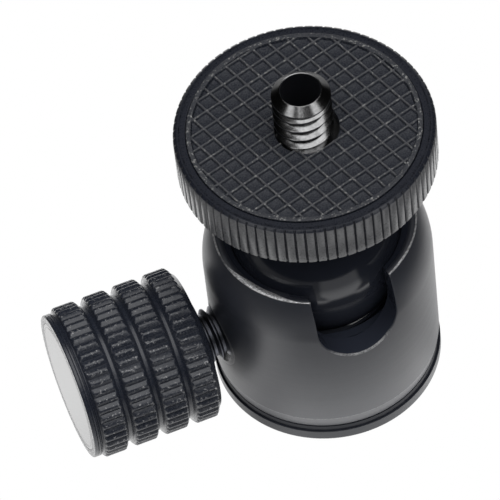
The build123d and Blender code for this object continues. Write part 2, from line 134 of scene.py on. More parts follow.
# ---- node trees ---------------------------------------------------------------------------
class Graph:
    """Adds nodes to a tree. A value given to an input is a number, a vector or another socket."""

    def __init__(self, tree):
        self.tree = tree

    def add(self, kind, settings=None, **values):
        node = self.tree.nodes.new(kind)
        for key, value in (settings or {}).items():
            setattr(node, key, value)
        for key, value in values.items():
            self.put(node.inputs[key.replace("_", " ")], value)
        return node

    def put(self, socket, value):
        if isinstance(value, bpy.types.NodeSocket):
            self.tree.links.new(value, socket)
        else:
            socket.default_value = value

    # arithmetic
    def maths(self, operation, *values):
        node = self.tree.nodes.new("ShaderNodeMath")
        node.operation = operation
        for socket, value in zip(node.inputs, values):
            self.put(socket, value)
        return node.outputs[0]

    def plus(self, a, b):
        return self.maths("ADD", a, b)

    def minus(self, a, b):
        return self.maths("SUBTRACT", a, b)

    def times(self, a, b):
        return self.maths("MULTIPLY", a, b)

    def over(self, a, b):
        return self.maths("DIVIDE", a, b)

    def larger(self, a, b):
        return self.maths("MAXIMUM", a, b)

    def smaller(self, a, b):
        return self.maths("MINIMUM", a, b)

    def rest(self, share):
        """What a share leaves of 1."""
        return self.minus(1.0, share)

    def gap(self, a, b):
        """How far apart two values are."""
        return self.maths("ABSOLUTE", self.minus(a, b))

    def below(self, value, limit):
        """1 where a value is under a limit, else 0."""
        return self.maths("LESS_THAN", value, limit)

    def above(self, value, limit):
        """1 where a value is over a limit, else 0."""
        return self.maths("GREATER_THAN", value, limit)

    def off_axis(self, a, b):
        """The distance from an axis, from the two coordinates across it."""
        return self.maths("SQRT", self.plus(self.times(a, a), self.times(b, b)))

    def degrees(self, y, x):
        """The angle of a direction, in degrees."""
        return self.over(self.maths("ARCTAN2", y, x), pi / 180)

    def grouped(self, number, size):
        """How many whole groups of a size are in a whole number, and what is left over."""
        whole = self.maths("FLOOR", self.over(self.plus(number, 0.5), size))
        return whole, self.minus(number, self.times(whole, size))

    def pick(self, index, values):
        """The value at an index."""
        node = self.tree.nodes.new("GeometryNodeIndexSwitch")
        node.data_type = "FLOAT"
        while len(node.index_switch_items) < len(values):
            node.index_switch_items.new()
        self.put(node.inputs[0], index)
        for place, value in enumerate(values):
            self.put(node.inputs[place + 1], value)
        return node.outputs[0]

    # places
    def xyz(self, x, y, z):
        node = self.tree.nodes.new("ShaderNodeCombineXYZ")
        for socket, value in zip(node.inputs, (x, y, z)):
            self.put(socket, value)
        return node.outputs[0]

    def parts(self, vector):
        node = self.tree.nodes.new("ShaderNodeSeparateXYZ")
        self.put(node.inputs[0], vector)
        return node.outputs[0], node.outputs[1], node.outputs[2]

    def about_z(self, radius, angle, height):
        """A place in metres from a radius, an angle and a height in millimetres."""
        reach = self.times(radius, mm)
        return self.xyz(self.times(reach, self.maths("COSINE", angle)),
                        self.times(reach, self.maths("SINE", angle)), self.times(height, mm))

    def place_mm(self):
        """Object coordinates in millimetres."""
        where = self.tree.nodes.new("ShaderNodeTexCoord").outputs["Object"]
        node = self.add("ShaderNodeVectorMath", {"operation": "SCALE"})
        self.put(node.inputs[0], where)
        self.put(node.inputs["Scale"], 1 / mm)
        return node.outputs[0]

    # patterns and shades
    def noise(self, position, scale, detail=4.0, roughness=0.6):
        return self.add("ShaderNodeTexNoise", Vector=position, Scale=scale, Detail=detail,
                        Roughness=roughness).outputs["Fac"]

    def spread(self, value, low, high, to_low, to_high):
        """A value between low and high, moved to lie between two others."""
        return self.add("ShaderNodeMapRange", Value=value, From_Min=low, From_Max=high,
                        To_Min=to_low, To_Max=to_high).outputs["Result"]

    def smooth(self, value, low, high):
        """0 below low, 1 above high and a soft step between."""
        return self.add("ShaderNodeMapRange", {"interpolation_type": "SMOOTHSTEP"}, Value=value,
                        From_Min=low, From_Max=high, To_Min=0.0, To_Max=1.0).outputs["Result"]

    def vary(self, noise, low, high, calm=0.3):
        """The middle range of a noise, spread between two values."""
        return self.spread(noise, calm, 1 - calm, low, high)

    def beside(self, angle, middle, full, gone):
        """1 up to some degrees either side of an angle, and 0 from some degrees further off."""
        return self.rest(self.smooth(self.gap(angle, middle), full, gone))

    def lathe_rings(self, about_screw=False):
        """Fine rings left by the lathe: they change only along the turning axis and the radius."""
        x, y, z = self.parts(self.place_mm())
        if about_screw:
            radius, along = self.off_axis(y, self.minus(z, screw_height)), x
        else:
            radius, along = self.off_axis(x, y), z
        return self.noise(self.xyz(radius, along, 0.0), 9.0, 5.0, 0.75)

    def shade(self, share, low, high):
        """A colour between two, by a share from 0 to 1."""
        node = self.add("ShaderNodeMix", {"data_type": "RGBA", "clamp_factor": True})
        self.put(node.inputs[0], share)
        for socket, colour in ((node.inputs[6], low), (node.inputs[7], high)):
            self.put(socket, colour if isinstance(colour, bpy.types.NodeSocket) else (*colour, 1))
        return node.outputs[2]


def geometry_tree(name, inputs):
    """A geometry tree with named number inputs and a finish: its graph and its input sockets."""
    tree = bpy.data.node_groups.new(name, "GeometryNodeTree")
    tree.interface.new_socket("Geometry", in_out="OUTPUT", socket_type="NodeSocketGeometry")
    for label, value in inputs.items():
        kind = "NodeSocketInt" if isinstance(value, int) else "NodeSocketFloat"
        tree.interface.new_socket(label, in_out="INPUT", socket_type=kind).default_value = value
    tree.interface.new_socket("Finish", in_out="INPUT", socket_type="NodeSocketMaterial")
    given = tree.nodes.new("NodeGroupInput").outputs
    return Graph(tree), {socket.name: socket for socket in given if socket.name}


def flat_grid(g, columns, rows):
    """A grid to be shaped, with the column and the row of each of its points."""
    grid = g.add("GeometryNodeMeshGrid", Vertices_X=columns, Vertices_Y=rows).outputs[0]
    column, row = g.grouped(g.add("GeometryNodeInputIndex").outputs[0], rows)
    return grid, column, row


def shaped(g, grid, place, finish):
    """Closes a tree: puts the grid's points in place, merges seams and sets the finish."""
    moved = g.add("GeometryNodeSetPosition", Geometry=grid, Position=place)
    merged = g.add("GeometryNodeMergeByDistance", Geometry=moved.outputs[0], Distance=seam * mm)
    real = g.add("GeometryNodeRealizeInstances", Geometry=merged.outputs[0])
    painted = g.add("GeometryNodeSetMaterial", Geometry=real.outputs[0], Material=finish)
    g.put(g.tree.nodes.new("NodeGroupOutput").inputs[0], painted.outputs[0])
    return g.tree


def grown(tree, finish, **values):
    """The mesh that a geometry tree makes with these values."""
    seed = bpy.data.objects.new("seed", bpy.data.meshes.new("seed"))
    bpy.context.scene.collection.objects.link(seed)
    modifier = seed.modifiers.new("maker", "NODES")
    modifier.node_group = tree
    sockets = {s.name: s.identifier for s in tree.interface.items_tree if s.in_out == "INPUT"}
    for label, value in values.items():
        modifier[sockets[label.replace("_", " ")]] = value
    modifier[sockets["Finish"]] = finish
    evaluated = seed.evaluated_get(bpy.context.evaluated_depsgraph_get())
    mesh = bpy.data.meshes.new_from_object(evaluated)
    seed.modifiers.remove(modifier)
    bpy.data.objects.remove(seed)
    return mesh


# ---- meshes -------------------------------------------------------------------------------
def rounded(corners, steps=3, support=0.35):
    """A closed outline from corners, each rounded by a short arc with a support point either side."""
    largest_share, room_for_support = 0.45, 2.4
    points = []
    for number, corner in enumerate(corners):
        here = Vector(corner[:2])
        size = corner[2] if len(corner) > 2 else 0
        before = Vector(corners[number - 1][:2]) - here
        after = Vector(corners[(number + 1) % len(corners)][:2]) - here
        if size <= 0 or before.length < tiny or after.length < tiny:
            points.append(here)
            continue
        b, a = before.normalized(), after.normalized()
        half = b.angle(a) / 2
        reach = min(size / tan(half), largest_share * before.length, largest_share * after.length)
        centre = here + (b + a).normalized() * (reach * tan(half) / sin(half))
        start, end = here + b * reach, here + a * reach
        if before.length > reach * room_for_support:
            points.append(here + b * reach * (1 + support))
        spoke, last = start - centre, end - centre
        side = 1 if spoke.x * last.y - spoke.y * last.x > 0 else -1
        for step in range(steps + 1):
            angle = side * (pi - 2 * half) * step / steps
            points.append(centre + Matrix.Rotation(angle, 2) @ spoke)
        if after.length > reach * room_for_support:
            points.append(here + a * reach * (1 + support))
    return [(p.x, p.y) for p in points]


def as_mesh(made, name):
    """The mesh of a bmesh, which is freed."""
    mesh = bpy.data.meshes.new(name)
    made.to_mesh(mesh)
    made.free()
    return mesh


def turned(outline, sides=160):
    """A mesh turned about Z from a closed outline."""
    made = bmesh.new()
    rings = []
    for radius, height in outline:
        if radius < tiny:
            rings.append([made.verts.new((0, 0, height * mm))] * sides)
        else:
            rings.append([made.verts.new((radius * cos(2 * pi * k / sides) * mm,
                                          radius * sin(2 * pi * k / sides) * mm, height * mm))
                          for k in range(sides)])
    for number, ring in enumerate(rings):
        following = rings[(number + 1) % len(rings)]
        for k in range(sides):
            corners = []
            for vertex in (ring[k], ring[(k + 1) % sides], following[(k + 1) % sides], following[k]):
                if vertex not in corners:
                    corners.append(vertex)
            if len(corners) > 2:
                made.faces.new(corners)
    bmesh.ops.recalc_face_normals(made, faces=made.faces)
    return as_mesh(made, "turned")


def together(meshes, turn=None):
    """One mesh from several, moved into place by a matrix in millimetres."""
    made = bmesh.new()
    for mesh in meshes:
        made.from_mesh(mesh)
    if turn is not None:
        place = turn.copy()
        place.translation = place.translation * mm
        bmesh.ops.transform(made, matrix=place, verts=made.verts)
        if place.to_3x3().determinant() < 0:
            bmesh.ops.reverse_faces(made, faces=made.faces)
    return as_mesh(made, "joined")


def cut(mesh, other, operation):
    """The difference or intersection of two closed meshes."""
    first, second = (bpy.data.objects.new("work", m) for m in (mesh, other))
    for work in (first, second):
        bpy.context.scene.collection.objects.link(work)
    modifier = first.modifiers.new("cut", "BOOLEAN")
    modifier.operation, modifier.solver, modifier.object = operation, "EXACT", second
    evaluated = first.evaluated_get(bpy.context.evaluated_depsgraph_get())
    result = bpy.data.meshes.new_from_object(evaluated)
    for work in (first, second):
        bpy.data.objects.remove(work)
    return result


def solid_below(mesh, height):
    """Closes an open sheet into a solid by walls and a floor at a lower height."""
    made = bmesh.new()
    made.from_mesh(mesh)
    rim = [edge for edge in made.edges if edge.is_boundary]
    walls = bmesh.ops.extrude_edge_only(made, edges=rim)["geom"]
    for vertex in walls:
        if isinstance(vertex, bmesh.types.BMVert):
            vertex.co.z = height * mm
    bmesh.ops.contextual_create(made, geom=[edge for edge in made.edges if edge.is_boundary])
    bmesh.ops.recalc_face_normals(made, faces=made.faces)
    return as_mesh(made, "solid")


def merged_copy(node):
    """A copy of a CAD node's mesh, merged."""
    made = bmesh.new()
    made.from_mesh(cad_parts[node].data)
    bmesh.ops.remove_doubles(made, verts=made.verts, dist=seam * mm)
    return as_mesh(made, node + "_smooth")


def piece(name, mesh, finish, body, node, crease=38):
    """A visible piece: named, finished, riding on its body and standing for its CAD node."""
    mesh.name = name
    mesh.materials.clear()
    mesh.materials.append(finish)
    for polygon in mesh.polygons:
        polygon.material_index = 0
    mesh.shade_smooth()
    mesh.set_sharp_from_angle(angle=radians(crease))
    made = bpy.data.objects.new(name, mesh)
    bpy.context.scene.collection.objects.link(made)
    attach(made, body)
    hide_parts(node)
    return made


# ---- shading of the housing's turned and bored surfaces -----------------------------------
# Each surface gives, for a place, how far off it lies and which way the surface faces there. A place
# past a surface's ends counts as far off.
off_surface, end_slack, on_surface = 9.0, 0.01, 0.012


def outwards(place):
    """The radius about Z of a place and the flat direction away from Z."""
    radius = max(place.xy.length, tiny)
    return radius, place.xy / radius


def turned_line(start, end):
    """A cone or cylinder about Z between two (radius, height) points, open side to the left."""
    run = Vector(end) - Vector(start)
    length = run.length
    run.normalize()

    def at(place):
        radius, out = outwards(place)
        step = Vector((radius, place.z)) - Vector(start)
        along = step.dot(run)
        gap = step.x * run.y - step.y * run.x
        if along < -end_slack or along > length + end_slack:
            gap = off_surface
        return gap, Vector((out.x * run.y, out.y * run.y, -run.x))
    return at


def curved_shoulder(place):
    """The housing's shoulder, an arc turned about Z."""
    radius, out = outwards(place)
    step = Vector((radius - shoulder_centre, place.z - shoulder_start))
    gap = step.length - shoulder_radius if step.y > -end_slack and step.x > 0 else off_surface
    step.normalize()
    return gap, Vector((out.x * step.x, out.y * step.x, step.y))


def rolled_rim(place):
    """The rim's bevel, rubbed round: it leans outwards at its edge and a little inwards at its foot."""
    foot_lean, edge_lean, slack = -8, 34, 0.02
    radius, out = outwards(place)
    share = (radius - rim_inner_radius) / (rim_radius - rim_inner_radius)
    height = rim_inner_height + share * (rim_height - rim_inner_height)
    gap = place.z - height if -slack < share < 1 + slack else off_surface
    lean = radians(foot_lean + (edge_lean - foot_lean) * share)
    return gap, Vector((out.x * sin(lean), out.y * sin(lean), cos(lean)))


def notch_walls(place):
    """The drop notch: a half round floor along Y under two upright cheeks."""
    drop = min(place.z - ball_centre_height, 0.0)
    step = Vector((place.x, 0.0, drop))
    gap = step.length - notch_radius if place.y < 0 else off_surface
    return gap, -step.normalized()


def screw_hole(place):
    """The threaded hole on -X with its countersink."""
    step = Vector((0.0, place.y, place.z - screw_height))
    depth = max(-place.x - countersink_start, 0.0)
    gap = step.length - screw_hole_radius - depth if place.x < 0 else off_surface
    inwards = -step.normalized()
    if depth > 0.0:
        inwards = (inwards + Vector((-1.0, 0.0, 0.0))).normalized()
    return gap, inwards


def exact_shading(mesh, surfaces, reach=62):
    """Shades each corner by the true surface that it lies on, so that facets and bevels look round."""
    normals = []
    for polygon in mesh.polygons:
        for index in polygon.vertices:
            place = mesh.vertices[index].co / mm
            chosen, likeness = polygon.normal, cos(radians(reach))
            for surface in surfaces:
                gap, normal = surface(place)
                if abs(gap) < on_surface and normal.dot(polygon.normal) > likeness:
                    chosen, likeness = normal, normal.dot(polygon.normal)
            normals.append(tuple(chosen))
    mesh.normals_split_custom_set(normals)


# ---- finishes -----------------------------------------------------------------------------
def new_finish(name, colour, metallic, roughness, ior=1.5):
    """A material, its shader with the plain values set, and a graph for what varies."""
    material = bpy.data.materials.new(name)
    material.use_nodes = True
    shader = material.node_tree.nodes["Principled BSDF"]
    shader.inputs["Base Color"].default_value = (*colour, 1)
    shader.inputs["Metallic"].default_value = metallic
    shader.inputs["Roughness"].default_value = roughness
    shader.inputs["IOR"].default_value = ior
    return material, shader, Graph(material.node_tree)


def bumps(g, shader, strength, height, depth=0.03):
    """Fine relief, with its depth in millimetres."""
    bump = g.add("ShaderNodeBump", Strength=strength, Distance=depth * mm, Height=height)
    g.put(shader.inputs["Normal"], bump.outputs[0])


def anodised_coat(g, shader, colour, roughness, marks, grain_size, speckle, about_screw=False):
    """A dark coat with faint lathe rings and a little uneven gloss. Returns colour and roughness."""
    rings = g.lathe_rings(about_screw)
    blotch = g.noise(g.place_mm(), 0.5, 3.0)
    grain = g.noise(g.place_mm(), 1 / grain_size, 3.0, 0.7)
    rough = g.plus(g.vary(rings, roughness * 0.88, roughness * 1.1),
                   g.vary(grain, -speckle, speckle, calm=0.35))
    bumps(g, shader, marks, g.plus(g.times(rings, 0.5), g.times(grain, 0.5)))
    shade = g.shade(blotch, [c * 0.85 for c in colour], [c * 1.15 for c in colour])
    return shade, rough


def anodised(name, colour, roughness, ior, about_screw=False, marks=0.04, grain_size=0.07,
             speckle=0.02, painted_glints=0.0):
    """Black anodised aluminium; the knob's teeth may carry sparse painted glints."""
    knob_glint_colour, glints_start, glints_full = (0.5, 0.5, 0.51), knob_radius - 0.16, knob_radius - 0.04
    material, shader, g = new_finish(name, colour, 0.0, roughness, ior)
    shade, rough = anodised_coat(g, shader, colour, roughness, marks, grain_size, speckle, about_screw)
    # painted glints: sparse light spots near the teeth's crests
    if painted_glints:
        x, y, z = g.parts(g.place_mm())
        radius = g.off_axis(y, g.minus(z, screw_height))
        glint_spots = g.times(g.smooth(g.noise(g.place_mm(), 3.0, 4.0, 0.75), 0.56, 0.64),
                       g.smooth(radius, glints_start, glints_full))
        shade = g.shade(g.times(glint_spots, painted_glints), shade, knob_glint_colour)
    g.put(shader.inputs["Base Color"], shade)
    g.put(shader.inputs["Roughness"], rough)
    return material


def light_crested_knurl(name, colour, roughness, ior, crest_colour, crest_start):
    """Black anodised aluminium about Z whose knurl crests are lighter."""
    material, shader, g = new_finish(name, colour, 0.0, roughness, ior)
    shade, rough = anodised_coat(g, shader, colour, roughness, marks=0.25, grain_size=0.2, speckle=0.05)
    where = g.place_mm()
    x, y, z = g.parts(where)
    crest = g.times(g.smooth(g.off_axis(x, y), crest_start - 0.02, crest_start + 0.02),
                    g.vary(g.noise(where, 1.5), 0.75, 1.0))
    g.put(shader.inputs["Base Color"], g.shade(crest, shade, crest_colour))
    g.put(shader.inputs["Roughness"], rough)
    return material


def anodised_shell(name, colour, roughness, ior):
    """Black anodised shell: edges rubbed through the coat to the metal, a painted highlight on the rim,
    and a smoother notch and bore that reflect less, a painted shade.
    """
    bare_and_highlight_colour, shaded_inside_colour = (0.85, 0.85, 0.86), (0.04, 0.046, 0.066)
    line_width, left_highlight_widening, right_highlight_widening, kept_in_knob_shade = 0.18, 0.74, 0.1, 0.3
    foot_share, notch_share, screw_share = 0.22, 0.6, 0.25
    material, shader, g = new_finish(name, colour, 0.0, roughness, ior)
    coat, rough = anodised_coat(g, shader, colour, roughness, marks=0.03, grain_size=0.12, speckle=0.03)
    where = g.place_mm()
    x, y, z = g.parts(where)
    radius, angle = g.off_axis(x, y), g.degrees(y, x)
    patchy = g.spread(g.noise(where, 4.0, 4.0, 0.75), 0.4, 0.54, 0.25, 1.0)

    # the rim's bevel: a line rubbed to the metal along its edge, widened by a painted highlight left of
    # the notch and a little right of it, and faint over the knob, a painted shade
    slope = (rim_height - rim_inner_height) / (rim_radius - rim_inner_radius)
    bevel = g.plus(rim_inner_height, g.times(g.minus(radius, rim_inner_radius), slope))
    on_bevel = g.times(g.below(g.gap(z, bevel), 0.04), g.above(radius, rim_inner_radius - 0.02))
    # painted highlight: the rubbed line is widened left of the notch and a little right of it
    highlight_widening = g.plus(g.times(g.beside(angle, -146.0, 6.0, 28.0), left_highlight_widening),
                  g.times(g.beside(angle, -52.0, 2.0, 16.0), right_highlight_widening))
    line_start = g.minus(rim_radius, g.plus(line_width, highlight_widening))
    # over the knob the line fades to a small share: painted shade
    unshaded_side = g.smooth(angle, -176.0, -162.0)
    rim = g.times(g.times(g.above(radius, line_start), on_bevel),
                  g.plus(kept_in_knob_shade, g.times(unshaded_side, 1 - kept_in_knob_shade)))

    # the foot's bevel, the notch's lower edge and the countersink
    foot = g.times(g.below(g.gap(z, foot_bevel_top), 0.05), foot_share)
    drop = g.smaller(g.minus(z, ball_centre_height), 0.0)
    off_notch = g.gap(g.off_axis(x, drop), notch_radius)
    notch = g.times(g.below(off_notch, 0.22), g.above(radius, housing_radius - 0.2))
    low = g.rest(g.smooth(z, 15.3, 17.0))
    notch = g.times(g.times(notch, g.below(y, 0.0)), g.times(low, notch_share))
    off_screw = g.off_axis(y, g.minus(z, screw_height))
    sunk = g.times(g.below(off_screw, screw_hole_radius + 0.9), g.below(x, -countersink_start))
    edges = g.larger(g.larger(foot, notch), g.times(sunk, screw_share))
    # edges rubbed to the metal together with the rim's painted highlight
    bare_and_highlight = g.times(g.larger(rim, edges), patchy)

    # the notch and the bore: smoother, and reflecting less, a painted shade
    in_notch = g.times(g.below(off_notch, 0.05), g.below(y, 0.0))
    inside = g.times(g.larger(in_notch, g.below(radius, bore_radius + 0.05)), g.rest(on_bevel))
    coat = g.shade(inside, coat, shaded_inside_colour)
    g.put(shader.inputs["Specular IOR Level"], g.minus(0.5, g.times(inside, 0.35)))
    g.put(shader.inputs["Base Color"], g.shade(bare_and_highlight, coat, bare_and_highlight_colour))
    g.put(shader.inputs["Metallic"], g.times(bare_and_highlight, 0.6))
    g.put(shader.inputs["Roughness"], g.minus(rough, g.times(inside, roughness * 0.55)))
    return material


def polished_ball(name, colour, roughness, ior):
    """Polished black ball whose lower half is made rough and reflects little, a painted shade."""
    dull_roughness, shaded_specular, full_specular = 0.5, 0.06, 0.5
    material, shader, g = new_finish(name, colour, 0.0, roughness, ior)
    height = g.parts(g.place_mm())[2]
    # the lower half is rough and reflects little: painted shade inside the housing
    upper_half = g.smooth(height, ball_centre_height - 0.4, ball_centre_height + 1.0)
    g.put(shader.inputs["Roughness"], g.spread(upper_half, 0.0, 1.0, dull_roughness, roughness))
    g.put(shader.inputs["Specular IOR Level"], g.spread(upper_half, 0.0, 1.0, shaded_specular, full_specular))
    bumps(g, shader, 0.01, g.lathe_rings())
    return material


def metal(name, colour, roughness, about_screw=False):
    """Turned metal with faint lathe rings."""
    material, shader, g = new_finish(name, colour, 1.0, roughness)
    rings = g.lathe_rings(about_screw)
    g.put(shader.inputs["Roughness"], g.vary(rings, roughness * 0.8, roughness * 1.25))
    bumps(g, shader, 0.05, rings)
    return material


def hollow_steel(name, colour, roughness, hole_radius):
    """Turned steel about Z whose hole is painted black inside, a painted shade in the bore."""
    hole_shade_colour = (0.008, 0.009, 0.013)
    material, shader, g = new_finish(name, colour, 1.0, roughness)
    rings = g.lathe_rings()
    x, y, z = g.parts(g.place_mm())
    # the hole is painted black and not metallic: painted shade in the bore
    hole = g.below(g.off_axis(x, y), hole_radius)
    blotch = g.vary(g.noise(g.place_mm(), 1.6, 4.0, 0.7), 0.0, 1.0)
    steel = g.shade(blotch, [c * 0.75 for c in colour], [min(c * 1.25, 1.0) for c in colour])
    g.put(shader.inputs["Base Color"], g.shade(hole, steel, hole_shade_colour))
    g.put(shader.inputs["Metallic"], g.rest(hole))
    g.put(shader.inputs["Roughness"],
          g.plus(g.vary(rings, roughness * 0.7, roughness * 1.4), g.times(hole, 0.4)))
    bumps(g, shader, 0.12, rings, 0.04)
    return material


def plastic(name, colour, roughness, ior):
    """Moulded plastic with a fine grain."""
    material, shader, g = new_finish(name, colour, 0.0, roughness, ior)
    grain = g.noise(g.place_mm(), 6.0, 5.0)
    g.put(shader.inputs["Roughness"], g.vary(grain, roughness * 0.9, roughness * 1.1))
    bumps(g, shader, 0.1, grain)
    return material


def bowl_with_painted_highlight(name, colour, roughness, ior):
    """Black plastic bowl with a short painted highlight, a white line along its upper edge, in the notch.
    """
    highlight_colour, highlight_direction, line_width, edge_lean = (1.0, 1.0, 1.0), -75.0, 0.17, 49.5
    material, shader, g = new_finish(name, colour, 0.0, roughness, ior)
    x, y, z = g.parts(g.place_mm())
    low, flat = g.minus(z, ball_centre_height), g.off_axis(x, y)
    off_ball = g.minus(g.off_axis(flat, low), ball_radius)
    lean = g.degrees(flat, g.times(low, -1.0))
    # painted highlight: a white line on the bowl's upper edge, seen in the notch
    line = g.times(g.beside(g.degrees(y, x), highlight_direction, 9.0, 15.0),
                   g.times(g.below(off_ball, line_width), g.above(lean, edge_lean)))
    g.put(shader.inputs["Base Color"], g.shade(line, colour, highlight_colour))
    return material


def ridged_rubber(name):
    """Rubber: the ridge tops are lighter than the pockets, and carry painted glints."""
    pocket_colour, ridge_colour = (0.022, 0.026, 0.038), (0.16, 0.162, 0.171)
    painted_glint_colour = (0.42, 0.42, 0.41)
    material, shader, g = new_finish(name, pocket_colour, 0.0, 0.6)
    where = g.place_mm()
    x, y, height = g.parts(where)
    border = g.smooth(g.off_axis(x, y), pad_radius - 0.72, pad_radius - 0.66)
    top = g.spread(height, pad_top - 0.14, pad_top - 0.01, 0.0, 1.0)
    dust = g.noise(where, 1.3, 6.0, 0.75)
    speck = g.noise(where, 5.5, 4.0, 0.75)
    ridge_lightness = g.times(g.plus(g.times(top, 0.9), 0.1), g.vary(dust, 0.5, 1.0))
    ridge_lightness = g.times(ridge_lightness, g.vary(speck, 0.6, 1.2))
    ridge_lightness = g.times(ridge_lightness, g.rest(g.times(border, 0.6)))
    # painted glints: light specks on the ridge tops
    painted_glint = g.times(top, g.smooth(g.noise(where, 3.2, 3.0, 0.7), 0.57, 0.63))
    shade = g.shade(ridge_lightness, pocket_colour, ridge_colour)
    g.put(shader.inputs["Base Color"], g.shade(painted_glint, shade, painted_glint_colour))
    g.put(shader.inputs["Roughness"],
          g.plus(g.spread(ridge_lightness, 0.0, 1.0, 0.24, 0.5), g.vary(speck, -0.08, 0.1, calm=0.35)))
    bumps(g, shader, 0.8, speck, 0.12)
    return material


# ---- knurl, thread and ridges -------------------------------------------------------------
def knurl_tree():
    """A toothed band about Z with broken edges, closed inwards to a plain radius at both ends."""
    g, given = geometry_tree("straight_knurl", {
        "Teeth": 50, "Crest": 8.64, "Depth": 0.26, "Crest share": 0.36, "Valley share": 0.0,
        "Low": 0.0, "High": 2.6, "Low chamfer": 0.4, "High chamfer": 0.4, "Inner": 7.5,
        "Edge": 0.05})
    samples, rows = 8, 10
    crest, inner, edge = given["Crest"], given["Inner"], given["Edge"]
    grid, column, row = flat_grid(g, g.plus(g.times(given["Teeth"], samples), 1), rows)
    tooth, sample = g.grouped(column, samples)

    # round the tooth, by shares of the pitch: a crest's middle is at 0 and a valley's at 0.5
    half_crest, half_valley = g.times(given["Crest share"], 0.5), g.times(given["Valley share"], 0.5)
    soft, sharp_valley, valley_floor = 0.035, 0.004, g.times(half_valley, 0.6)
    share = g.pick(sample, [
        g.minus(soft, half_crest), g.minus(half_crest, soft), g.plus(half_crest, soft / 3),
        g.minus(0.5 - soft, half_valley), g.minus(0.5 - sharp_valley, valley_floor),
        g.plus(0.5 + sharp_valley, valley_floor), g.plus(0.5 + soft, half_valley),
        g.minus(1 - soft / 3, half_crest)])
    drop = g.pick(sample, [0.0, 0.0, 0.12, 0.9, 1.0, 1.0, 0.9, 0.12])
    toothed = g.minus(crest, g.times(drop, given["Depth"]))

    # along the band: out from the inner radius, over a chamfer, the teeth and a chamfer, and back in
    low_in, high_in = g.minus(crest, given["Low chamfer"]), g.minus(crest, given["High chamfer"])
    limit = g.pick(row, [
        inner, g.minus(low_in, edge), low_in, g.minus(crest, edge), crest,
        crest, g.minus(crest, edge), high_in, g.minus(high_in, edge), inner])
    low, high = given["Low"], given["High"]
    low_end, high_end = g.plus(low, given["Low chamfer"]), g.minus(high, given["High chamfer"])
    height = g.pick(row, [
        low, low, g.plus(low, edge), g.minus(low_end, edge), g.plus(low_end, edge),
        g.minus(high_end, edge), g.plus(high_end, edge), g.minus(high, edge), high, high])
    angle = g.over(g.times(g.plus(tooth, share), 2 * pi), given["Teeth"])
    return shaped(g, grid, g.about_z(g.smaller(toothed, limit), angle, height), given["Finish"])


def thread_tree():
    """A helical thread about Z between two heights, running out at both ends."""
    g, given = geometry_tree("helical_thread", {
        "Crest": 3.175, "Root": 2.6, "Pitch": 1.27, "Low": 0.0, "High": 5.0, "Flat": 0.04,
        "Flank slope": 30.0, "Run out": 0.5})
    sides, rows, broken_edge, spare_turns = 64, 8, 0.02, 2.0
    low, high, pitch, flat = given["Low"], given["High"], given["Pitch"], given["Flat"]
    turns = g.plus(g.over(g.minus(high, low), pitch), spare_turns)
    grid, column, row = flat_grid(g, g.plus(g.maths("CEIL", g.times(turns, sides)), 1), rows)
    turn = g.minus(g.over(column, sides), spare_turns / 2)

    # across one turn, by shares of the pitch: from root to root over the crest, whose middle is at 0
    deep = g.minus(given["Crest"], given["Root"])
    lean = g.maths("TANGENT", g.maths("RADIANS", given["Flank slope"]))
    foot = g.plus(flat, g.over(g.times(deep, lean), pitch))
    share = g.pick(row, [
        -0.5, g.times(foot, -1.0), g.minus(-broken_edge, flat), g.times(flat, -1.0), flat,
        g.plus(broken_edge, flat), foot, 0.5])
    rise = g.pick(row, [0.0, 0.0, 0.95, 1.0, 1.0, 0.95, 0.0, 0.0])
    centre = g.plus(low, g.times(pitch, turn))
    height = g.smaller(g.larger(g.plus(centre, g.times(pitch, share)), low), high)
    reach = g.times(given["Run out"], pitch)

    def fade(distance):
        return g.smaller(g.larger(g.over(distance, reach), 0.0), 1.0)

    fading = g.times(fade(g.minus(centre, low)), fade(g.minus(high, centre)))
    radius = g.plus(given["Root"], g.times(g.times(deep, rise), fading))
    return shaped(g, grid, g.about_z(radius, g.times(turn, 2 * pi), height), given["Finish"])


